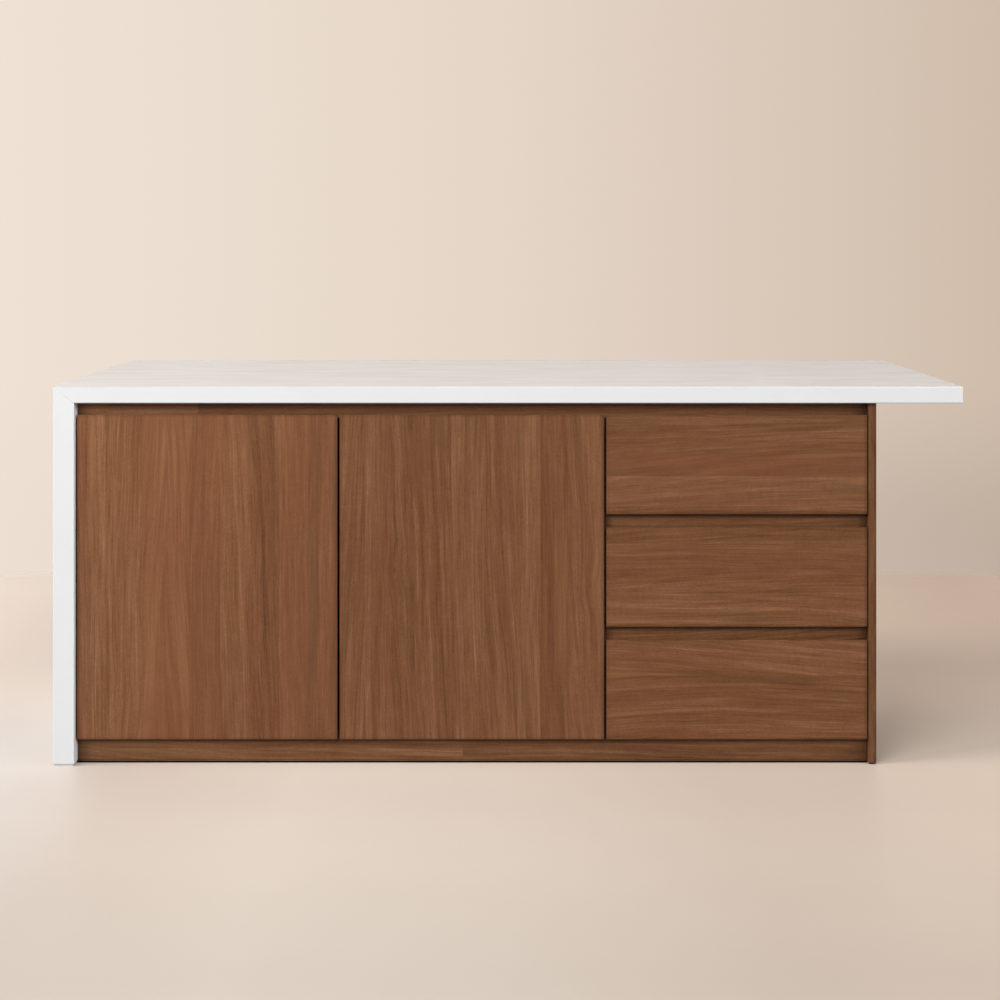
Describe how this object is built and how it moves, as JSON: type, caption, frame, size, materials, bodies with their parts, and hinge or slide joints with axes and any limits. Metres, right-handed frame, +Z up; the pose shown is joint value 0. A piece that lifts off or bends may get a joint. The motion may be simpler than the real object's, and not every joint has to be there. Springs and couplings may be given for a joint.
{
  "type": "kitchen island unit",
  "caption": "Kitchen island with a white worktop and waterfall end over a walnut double-door cabinet and a walnut drawer cabinet, opened by recessed finger rails.",
  "frame": {"origin": "on the floor, under the centre of the worktop's outline", "axes": "+X to the right along the island seen from its fronts, +Y from the fronts to the back, +Z up"},
  "size_m": [2.19, 0.9, 0.914],
  "materials": {
    "white_stone": "honed white engineered stone",
    "walnut": "satin lacquered walnut veneer",
    "walnut_carcass": "satin walnut laminated board",
    "drawer_board": "grey melamine faced board",
    "drawer_steel": "satin grey powder coated sheet steel",
    "plated_steel": "nickel plated pressed steel",
    "black_plastic": "matt black moulded plastic",
    "white_plastic": "matt white moulded plastic"
  },
  "bodies": {
    "island": {"worktop": "white_stone", "waterfall_leg": "white_stone", "waterfall_leg_glide": "white_plastic", "end_panel": "walnut", "end_panel_glide": "black_plastic", "rear_panel": "walnut", "toe_kick": "walnut", "upper_grip_rail": "walnut", "middle_grip_rail": "walnut", "lower_grip_rail": "walnut", "door_cabinet_left_side": "walnut_carcass", "door_cabinet_right_side": "walnut_carcass", "door_cabinet_bottom": "walnut_carcass", "door_cabinet_back": "walnut_carcass", "shelf": "walnut_carcass", "shelf_pin_left_front": "plated_steel", "shelf_pin_left_rear": "plated_steel", "shelf_pin_right_front": "plated_steel", "shelf_pin_right_rear": "plated_steel", "drawer_cabinet_left_side": "walnut_carcass", "drawer_cabinet_right_side": "walnut_carcass", "drawer_cabinet_bottom": "walnut_carcass", "drawer_cabinet_back": "walnut_carcass", "foot_left_front": "black_plastic", "foot_left_rear": "black_plastic", "foot_middle_front": "black_plastic", "foot_middle_rear": "black_plastic", "foot_right_front": "black_plastic", "foot_right_rear": "black_plastic", "left_door_lower_hinge_arm": "plated_steel", "left_door_upper_hinge_arm": "plated_steel", "right_door_lower_hinge_arm": "plated_steel", "right_door_upper_hinge_arm": "plated_steel", "lower_drawer_left_runner": "drawer_steel", "lower_drawer_right_runner": "drawer_steel", "middle_drawer_left_runner": "drawer_steel", "middle_drawer_right_runner": "drawer_steel", "upper_drawer_left_runner": "drawer_steel", "upper_drawer_right_runner": "drawer_steel"},
    "left_door": {"left_door_panel": "walnut", "left_door_lower_hinge_cup": "plated_steel", "left_door_upper_hinge_cup": "plated_steel"},
    "right_door": {"right_door_panel": "walnut", "right_door_lower_hinge_cup": "plated_steel", "right_door_upper_hinge_cup": "plated_steel"},
    "lower_drawer": {"lower_drawer_front": "walnut", "lower_drawer_bottom": "drawer_board", "lower_drawer_back": "drawer_board", "lower_drawer_left_side": "drawer_steel", "lower_drawer_right_side": "drawer_steel"},
    "middle_drawer": {"middle_drawer_front": "walnut", "middle_drawer_bottom": "drawer_board", "middle_drawer_back": "drawer_board", "middle_drawer_left_side": "drawer_steel", "middle_drawer_right_side": "drawer_steel"},
    "upper_drawer": {"upper_drawer_front": "walnut", "upper_drawer_bottom": "drawer_board", "upper_drawer_back": "drawer_board", "upper_drawer_left_side": "drawer_steel", "upper_drawer_right_side": "drawer_steel"}
  },
  "joints": [
    {"name": "left_door_hinge", "type": "hinge", "parent": "island", "child": "left_door", "pos_m": [-1.036, -0.428, 0.45], "axis": [0, 0, -1], "range_deg": [0, 90]},
    {"name": "right_door_hinge", "type": "hinge", "parent": "island", "child": "right_door", "pos_m": [0.226, -0.428, 0.45], "axis": [0, 0, 1], "range_deg": [0, 90]},
    {"name": "lower_drawer_slide", "type": "slide", "parent": "island", "child": "lower_drawer", "axis": [0, -1, 0], "range_m": [0, 0.345]},
    {"name": "middle_drawer_slide", "type": "slide", "parent": "island", "child": "middle_drawer", "axis": [0, -1, 0], "range_m": [0, 0.345]},
    {"name": "upper_drawer_slide", "type": "slide", "parent": "island", "child": "upper_drawer", "axis": [0, -1, 0], "range_m": [0, 0.345]}
  ]
}
